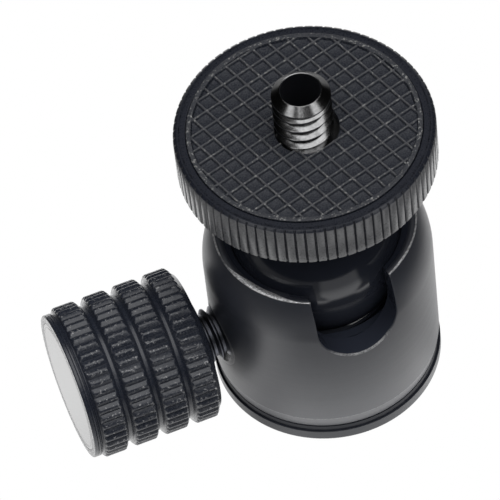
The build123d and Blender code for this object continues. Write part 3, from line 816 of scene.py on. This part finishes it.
def ridge_tree():
    """A sheet of four-sided pockets between two families of straight ridges."""
    g, given = geometry_tree("pad_ridges", {
        "First pitch": 1.72, "Second pitch": 1.79, "First direction": radians(105.5),
        "Second direction": radians(18.5), "First offset": -0.213, "Second offset": -0.806,
        "Ridge width": 0.13, "Wall": 0.15, "Depth": ridge_depth, "Top": pad_top, "Count": 17})
    samples, lip, fillet = 8, 0.03, 0.12
    side = g.plus(g.times(given["Count"], samples), 1)
    grid, column, row = flat_grid(g, side, side)
    half, wall = g.times(given["Ridge width"], 0.5), given["Wall"]
    near = [g.minus(lip, half), g.minus(half, lip), g.plus(half, lip / 2), g.plus(half, wall),
            g.plus(g.plus(half, wall), fillet)]
    first_ridge = g.times(g.maths("FLOOR", g.over(given["Count"], 2.0)), -1.0)

    def across(number, pitch, offset):
        """Distance across one family of ridges, and how much of a ridge's height is there."""
        ridge, sample = g.grouped(number, samples)
        local = g.pick(sample, near + [g.minus(pitch, reach) for reach in near[4:1:-1]])
        rise = g.pick(sample, [1.0, 1.0, 0.9, 0.14, 0.0, 0.0, 0.14, 0.9])
        return g.plus(g.plus(g.times(g.plus(ridge, first_ridge), pitch), offset), local), rise

    a, rise_a = across(column, given["First pitch"], given["First offset"])
    b, rise_b = across(row, given["Second pitch"], given["Second offset"])
    cos_a, sin_a = (g.maths(kind, given["First direction"]) for kind in ("COSINE", "SINE"))
    cos_b, sin_b = (g.maths(kind, given["Second direction"]) for kind in ("COSINE", "SINE"))
    cross = g.minus(g.times(cos_a, sin_b), g.times(sin_a, cos_b))
    x = g.over(g.minus(g.times(a, sin_b), g.times(b, sin_a)), cross)
    y = g.over(g.minus(g.times(b, cos_a), g.times(a, cos_b)), cross)
    z = g.minus(given["Top"], g.times(given["Depth"], g.rest(g.larger(rise_a, rise_b))))
    return shaped(g, grid, g.xyz(g.times(x, mm), g.times(y, mm), g.times(z, mm)), given["Finish"])


# ---- platform, pad and stud ---------------------------------------------------------------
def drum(radius, low, high, sides):
    """A plain closed cylinder about Z."""
    return turned([(0, low), (radius, low), (radius, high), (0, high)], sides)


def make_pad(ridges, rubber):
    """The field of ridges, cut to a disc with a hole for the stud, inside a smooth border."""
    field_radius, border_inner, border_top = pad_radius - 0.35, pad_radius - 0.75, pad_top + border_rise
    block = solid_below(grown(ridges, rubber), pad_floor - 0.5)
    field = cut(block, drum(field_radius, pad_floor, pad_top + 0.6, 180), "INTERSECT")
    hole = together([drum(pad_hole, pad_floor - 1.0, pad_top + 1.0, 96)],
                    Matrix.Translation(pad_hole_shift))
    field = cut(field, hole, "DIFFERENCE")
    border = turned(rounded([
        (border_inner, pad_floor), (pad_radius, pad_floor), (pad_radius, border_top, 0.12),
        (pad_radius - border_width, border_top, 0.06),
        (pad_radius - border_width - border_lean, pad_top - ridge_depth)]), 180)
    return together([field, border])


def make_stud(thread, steel):
    """Hollow stud with a flat head under the pad, its thread, and a plain band under the tip's chamfer."""
    tip_flat_radius, band_low, band_high = 2.27, 45.42, 45.55
    body = turned(rounded([
        (0, stud_bottom), (stud_shank, stud_bottom), (stud_shank, stud_head_low),
        (stud_head_radius, stud_head_low), (stud_head_radius, pad_floor), (stud_core, pad_floor),
        (stud_core, band_low - 0.12), (stud_radius, band_low), (stud_radius, band_high, 0.05),
        (tip_flat_radius, stud_tip, 0.04), (stud_hole, stud_tip - 0.08), (stud_hole, stud_hole_floor),
        (0, stud_hole_floor - 1.0)]), 128)
    turns = grown(thread, steel, Crest=stud_radius, Root=stud_root, Pitch=stud_pitch,
                  Low=pad_floor + 0.2, High=band_high - 0.05, Flat=0.04, Run_out=0.35)
    return together([body, turns])


def make_platform(knurl, black):
    """Knurled band round a disc that is recessed for the pad and for the stud's head."""
    band_inner, core_radius, head_recess = 13.3, 13.4, 5.62
    band = grown(knurl, black, Teeth=platform_teeth, Crest=platform_radius, Depth=platform_tooth_depth,
                 Crest_share=0.7, Valley_share=0.02, Low=platform_low, High=platform_high,
                 Low_chamfer=0.5, High_chamfer=0.35, Inner=band_inner, Edge=0.06)
    core = turned(rounded([
        (platform_bore, platform_low), (core_radius, platform_low), (core_radius, platform_high),
        (pad_recess_radius, platform_high, 0.08), (pad_recess_radius, pad_floor),
        (head_recess, pad_floor), (head_recess, stud_head_low), (platform_bore, stud_head_low)]), 160)
    return together([band, core])


# ---- ball, neck and base ------------------------------------------------------------------
def make_ball():
    """Ball from its lowest point to the neck, then the neck, its flare and the bore for the stud."""
    steps, neck_start = 90, sqrt(ball_radius ** 2 - neck_radius ** 2)
    sweep = pi - atan2(neck_radius, neck_start)
    outline = [(0, ball_centre_height - ball_radius)]
    for number in range(1, steps + 1):
        angle = sweep * number / steps
        outline.append((ball_radius * sin(angle), ball_centre_height - ball_radius * cos(angle)))
    outline += rounded([
        (neck_radius, ball_centre_height + neck_start + 0.3), (neck_radius, neck_end, 0.5),
        (flare_radius, flare_start, 0.12), (flare_radius, flare_end, 0.08), (neck_bore, flare_end),
        (neck_bore, neck_bore_floor)])
    outline.append((0, neck_bore_floor))
    return turned(outline, 192)


def make_base():
    """Flange with a small step on top, the groove above it and the plug that closes the housing."""
    return turned(rounded([
        (insert_head_radius, 0), (flange_radius, 0, 0.2), (flange_radius, flange_top, 0.06),
        (step_radius, flange_top, 0.02), (step_radius - step_lean, groove_bottom, 0.03),
        (groove_radius, groove_bottom), (groove_radius, housing_bottom), (plug_radius, housing_bottom),
        (plug_radius, plug_top), (0, plug_top), (0, insert_top), (insert_radius, insert_top),
        (insert_radius, insert_head_top), (insert_head_radius, insert_head_top)]), 192)


# ---- clamp --------------------------------------------------------------------------------
def make_knob(knurl, black):
    """Collar, knurled rings with smooth grooves between, and a plain nose with two fine lines."""
    collar_radius, collar_end, back_radius = 5.0, 15.1, 7.7
    ring_inner, screw_head_room, head_floor = 7.6, 3.05, 26.0
    fine_lines, line_half_width, line_depth = (29.4, 29.67), 0.05, 0.07
    starts = [first_ring + ring_step * number for number in range(ring_count)]
    grooves = []
    for start in starts[:-1]:
        end, following = start + ring_width, start + ring_step
        grooves += [(groove_edge, end, 0.1), (groove_floor, end + 0.3, 0.15),
                    (groove_floor, following - 0.3, 0.15), (groove_edge, following, 0.1)]
    nose = starts[-1] + ring_width
    lines = []
    for line in fine_lines:
        lines += [(nose_radius, line - line_half_width), (nose_radius - line_depth, line),
                  (nose_radius, line + line_half_width)]
    core = turned(rounded([
        (knob_bore, knob_start), (collar_radius, knob_start, 0.3), (collar_radius, collar_end),
        (back_radius, collar_end), (back_radius + 0.3, collar_end + 0.3, 0.05), (groove_edge, first_ring)]
        + grooves
        + [(groove_edge, nose), (groove_edge - 0.2, nose + 0.2, 0.08), (nose_radius, nose + 0.4, 0.06)]
        + lines
        + [(nose_radius, knob_end, 0.2), (cap_recess_radius, knob_end, 0.03),
           (cap_recess_radius, cap_floor), (screw_head_room, cap_floor),
           (screw_head_room, head_floor)]), 160)
    rings = [grown(knurl, black, Teeth=ring_teeth, Crest=knob_radius, Depth=ring_tooth_depth,
                   Crest_share=0.26, Valley_share=0.0, Low=start, High=start + ring_width,
                   Low_chamfer=ring_chamfer, High_chamfer=ring_chamfer, Inner=ring_inner, Edge=0.04)
             for start in starts]
    return together([core] + rings, screw_axis)


def make_clamp_screw(thread, steel):
    """The clamp screw's core and the thread that shows between the knob and the housing."""
    turns_start, turns_end = 10.5, 19.0
    body = drum(screw_core, screw_start, screw_end, 96)
    turns = grown(thread, steel, Crest=screw_radius, Root=screw_root, Pitch=1.0, Low=turns_start,
                  High=turns_end, Flat=0.06, Run_out=0.5)
    return together([body, turns], screw_axis)


def make_end_cap():
    """The knob's flat face, with a fine groove near its edge."""
    groove_outer, groove_bevel = 7.0, 0.04
    cap = turned(rounded([
        (0, cap_floor), (cap_radius, cap_floor), (cap_radius, knob_end, 0.08), (groove_outer, knob_end),
        (groove_outer - groove_bevel, knob_end - groove_bevel),
        (groove_outer - 2 * groove_bevel, knob_end - groove_bevel),
        (groove_outer - 3 * groove_bevel, knob_end), (0, knob_end)]), 160)
    return together([cap], screw_axis)


# ---- studio -------------------------------------------------------------------------------
def direction(turn, climb=0):
    """A unit vector from an angle about Z and a height above the floor, in degrees."""
    turn, climb = radians(turn), radians(climb)
    return Vector((cos(turn) * cos(climb), sin(turn) * cos(climb), sin(climb)))


def towards(g, place, way):
    """How far a place lies along a direction."""
    x, y, z = (g.times(part, share) for part, share in zip(place, way))
    return g.plus(g.plus(x, y), z)


def wedge(g, facing, edge):
    """1 within a wedge and 0 outside it, with a soft edge, from the cosine of the angle to its middle."""
    return g.smooth(facing, cos(radians(edge[0])), cos(radians(edge[1])))


def floor_reflection(g):
    """How bright glossy rays see the floor: bright at the part's foot, then a painted shadow before the
    notch. Further out the floor is painted dark, and only the opening beyond the shadow, the backdrop
    and a faint wedge on the left stay bright, and all of it falls off with distance."""
    x, y, z = g.parts(g.place_mm())
    from_axis = g.off_axis(x, y)

    def facing(turn):
        return g.over(towards(g, (x, y, z), direction(turn)), from_axis)

    before = facing(floor_shadow_direction)
    front = g.smooth(before, *front_start)
    narrowing = g.times(g.rest(g.smooth(from_axis, *opening_taper)), opening_narrowing)
    opening = wedge(g, g.minus(before, narrowing), opening_edge)
    backdrop = wedge(g, facing(backdrop_direction), backdrop_edge)
    left = g.times(wedge(g, facing(left_direction), left_edge), left_share)

    # a painted shadow on the floor before the notch, seen only in reflections
    past_floor_shadow = g.minus(from_axis, g.times(opening, opening_delay))
    floor_shadow = g.times(g.smooth(from_axis, *floor_shadow_start), g.rest(g.smooth(past_floor_shadow, *floor_shadow_end)))
    clear = g.larger(g.larger(opening, backdrop), left)
    beyond = g.times(g.smooth(from_axis, *beyond_start), g.rest(clear))
    near = g.rest(g.smooth(from_axis, *foot_end))
    sides = g.rest(g.smooth(before, *sides_end))
    level = g.plus(floor_glow, g.plus(g.times(g.times(near, front), foot_glow),
                                      g.times(sides, side_glow)))
    shaded = g.larger(g.times(g.times(floor_shadow, front), floor_shadow_depth), g.times(beyond, beyond_depth))
    fall = g.minus(1.0 - far_glow, g.larger(g.times(opening, opening_fall), left))
    return g.times(g.times(level, g.rest(shaded)),
                   g.rest(g.times(g.smooth(from_axis, *far_fall), fall)))


def make_floor():
    """A floor: white to the camera, pale paper to soft light, painted light and shadow to glossy rays."""
    side, just_below = 4000 * mm, -0.02 * mm
    mesh = bpy.data.meshes.new("floor")
    mesh.from_pydata([(-side, -side, 0), (side, -side, 0), (side, side, 0), (-side, side, 0)], [],
                     [(0, 1, 2, 3)])
    floor = bpy.data.objects.new("floor", mesh)
    floor.location.z = just_below
    bpy.context.scene.collection.objects.link(floor)
    material = bpy.data.materials.new("white_floor")
    material.use_nodes = True
    g = Graph(material.node_tree)
    g.tree.nodes.remove(g.tree.nodes["Principled BSDF"])
    rays = g.add("ShaderNodeLightPath").outputs
    glossy = g.times(rays["Is Glossy Ray"], floor_reflection(g))
    paper = g.add("ShaderNodeBsdfDiffuse", Color=(0.8, 0.8, 0.8, 1))
    seen = g.add("ShaderNodeEmission", Color=(1, 1, 1, 1), Strength=g.plus(rays["Is Camera Ray"], glossy))
    both = g.tree.nodes.new("ShaderNodeMixShader")
    g.put(both.inputs[0], g.larger(rays["Is Camera Ray"], rays["Is Glossy Ray"]))
    g.put(both.inputs[1], paper.outputs[0])
    g.put(both.inputs[2], seen.outputs[0])
    g.put(g.tree.nodes["Material Output"].inputs["Surface"], both.outputs[0])
    mesh.materials.append(material)


def make_room():
    """An even white room, but to glossy rays a dark one with a bright horizon beyond the opening, a
    backdrop and three small lamps."""
    world = bpy.data.worlds.new("studio")
    bpy.context.scene.world = world
    world.use_nodes = True
    g = Graph(world.node_tree)
    rays = g.add("ShaderNodeLightPath").outputs
    x, y, z = g.parts(g.add("ShaderNodeTexCoord").outputs["Generated"])

    def lit(way, edge):
        return wedge(g, towards(g, (x, y, z), way), edge)

    horizon = g.times(g.rest(g.smooth(z, *horizon_end)), lit((0, -1, 0), horizon_edge))
    backdrop = g.times(lit(direction(backdrop_direction), backdrop_edge),
                       g.rest(g.smooth(z, *backdrop_end)))
    sky = g.plus(room_dark, g.times(g.larger(horizon, g.times(backdrop, far_glow)), floor_glow))
    for lamp in lamps:
        sky = g.plus(sky, g.times(lit(direction(*lamp), lamp_edge), lamp_glow))
    glossy = g.times(rays["Is Glossy Ray"], sky)
    plain = g.times(g.rest(rays["Is Glossy Ray"]), room_light)
    g.put(world.node_tree.nodes["Background"].inputs["Strength"],
          g.larger(rays["Is Camera Ray"], g.plus(glossy, plain)))


def make_softbox():
    """One large softbox overhead, a little towards the front."""
    aim, away = Vector((0, 0, 20)) * mm, direction(*softbox_direction)
    lamp = bpy.data.lights.new("overhead_softbox", "AREA")
    lamp.shape, lamp.size, lamp.size_y = "RECTANGLE", softbox_width, softbox_length
    lamp.energy = softbox_power
    holder = bpy.data.objects.new("overhead_softbox", lamp)
    holder.location = aim + away * softbox_distance
    holder.rotation_mode = "QUATERNION"
    holder.rotation_quaternion = (-away).to_track_quat("-Z", "Y")
    bpy.context.scene.collection.objects.link(holder)


# ---- assembly -----------------------------------------------------------------------------
place_camera()
make_floor()
make_room()
make_softbox()
bpy.context.scene.view_settings.view_transform = "Standard"

black_body = anodised_shell("black_anodised_shell", (0.034, 0.038, 0.052), 0.42, 1.75)
black_foot = anodised("black_anodised_foot", (0.02, 0.023, 0.033), 0.34, 1.37, marks=0.2)
black_platform = light_crested_knurl("black_anodised_platform", (0.022, 0.025, 0.036), 0.3, 1.6,
                            (0.18, 0.182, 0.19), platform_radius - 0.1)
black_ball = polished_ball("polished_black_ball", (0.026, 0.03, 0.043), 0.1, 1.7)
black_ring = anodised("black_anodised_ring", (0.034, 0.04, 0.058), 0.4, 1.3)
black_knob = anodised("black_anodised_knob", (0.03, 0.035, 0.05), 0.27, 1.6, about_screw=True,
                      marks=1.0, grain_size=0.24, speckle=0.12, painted_glints=0.9)
black_cap = anodised("smooth_knob_face", (0.014, 0.0155, 0.021), 0.2, 1.56, about_screw=True,
                     marks=0.05)
rubber = ridged_rubber("ridged_rubber")
stud_steel = hollow_steel("turned_stud_steel", (0.32, 0.32, 0.323), 0.18, stud_hole + 0.05)
dark_screw_steel = metal("blackened_screw_steel", (0.12, 0.125, 0.145), 0.4, about_screw=True)
bright_steel = metal("bright_steel", (0.5, 0.51, 0.53), 0.28)
spring_steel = metal("spring_steel", (0.35, 0.36, 0.38), 0.32)
brass = metal("turned_brass", (0.66, 0.5, 0.24), 0.3)
liner_plastic = plastic("liner_plastic", (0.026, 0.03, 0.043), 0.45, 1.3)
bowl_plastic = bowl_with_painted_highlight("bowl_plastic", (0.03, 0.035, 0.05), 0.45, 1.2)

knurl, thread, ridges = knurl_tree(), thread_tree(), ridge_tree()

piece("ridged_pad", make_pad(ridges, rubber), rubber, "platform", "platform_pad", crease=24)
piece("stud_thread", make_stud(thread, stud_steel), stud_steel, "platform", "camera_stud")
piece("platform_knurled_disc", make_platform(knurl, black_platform), black_platform, "platform",
      "platform_disc", crease=32)
piece("ball_and_neck", make_ball(), black_ball, "ball", "ball", crease=50)
piece("base_flange", make_base(), black_foot, "housing", "base_disc")
shell = piece("housing_shell", merged_copy("housing"), black_body, "housing",
              "housing")
lip_bottom = lip_height - lip_thickness
exact_shading(shell.data, [
    turned_line((housing_radius - foot_bevel, housing_bottom), (housing_radius, foot_bevel_top)),
    turned_line((housing_radius, foot_bevel_top), (housing_radius, shoulder_start)),
    curved_shoulder,
    rolled_rim,
    turned_line((rim_inner_radius, rim_inner_height), (lip_radius, lip_height)),
    turned_line((lip_radius, lip_height), (lip_radius, lip_bottom)),
    turned_line((bore_radius, lip_bottom), (bore_radius, housing_bottom)),
    notch_walls, screw_hole])
piece("knob_knurled_rings", make_knob(knurl, black_knob), black_knob, "knob",
      "knob_grip", crease=32)
piece("knob_end_disc", make_end_cap(), black_cap, "knob", "knob_end_cap")
piece("clamp_screw_thread", make_clamp_screw(thread, dark_screw_steel), dark_screw_steel, "knob",
      "clamp_screw")

# These pieces keep their CAD meshes and only get their finish.
carried = {
    "base_thread_insert": bright_steel, "guide_pins": bright_steel, "upper_liner": liner_plastic,
    "curved_washer": spring_steel, "pressure_ring": black_ring, "friction_bowl": bowl_plastic,
    "neck_washer": liner_plastic, "clamp_plunger": brass, "thrust_ball": bright_steel,
    "knob_fixing_screw": bright_steel, "knob_lock_washer": spring_steel}
for node, material in carried.items():
    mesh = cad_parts[node].data
    for number in range(len(mesh.materials)):
        mesh.materials[number] = material
    if not mesh.materials:
        mesh.materials.append(material)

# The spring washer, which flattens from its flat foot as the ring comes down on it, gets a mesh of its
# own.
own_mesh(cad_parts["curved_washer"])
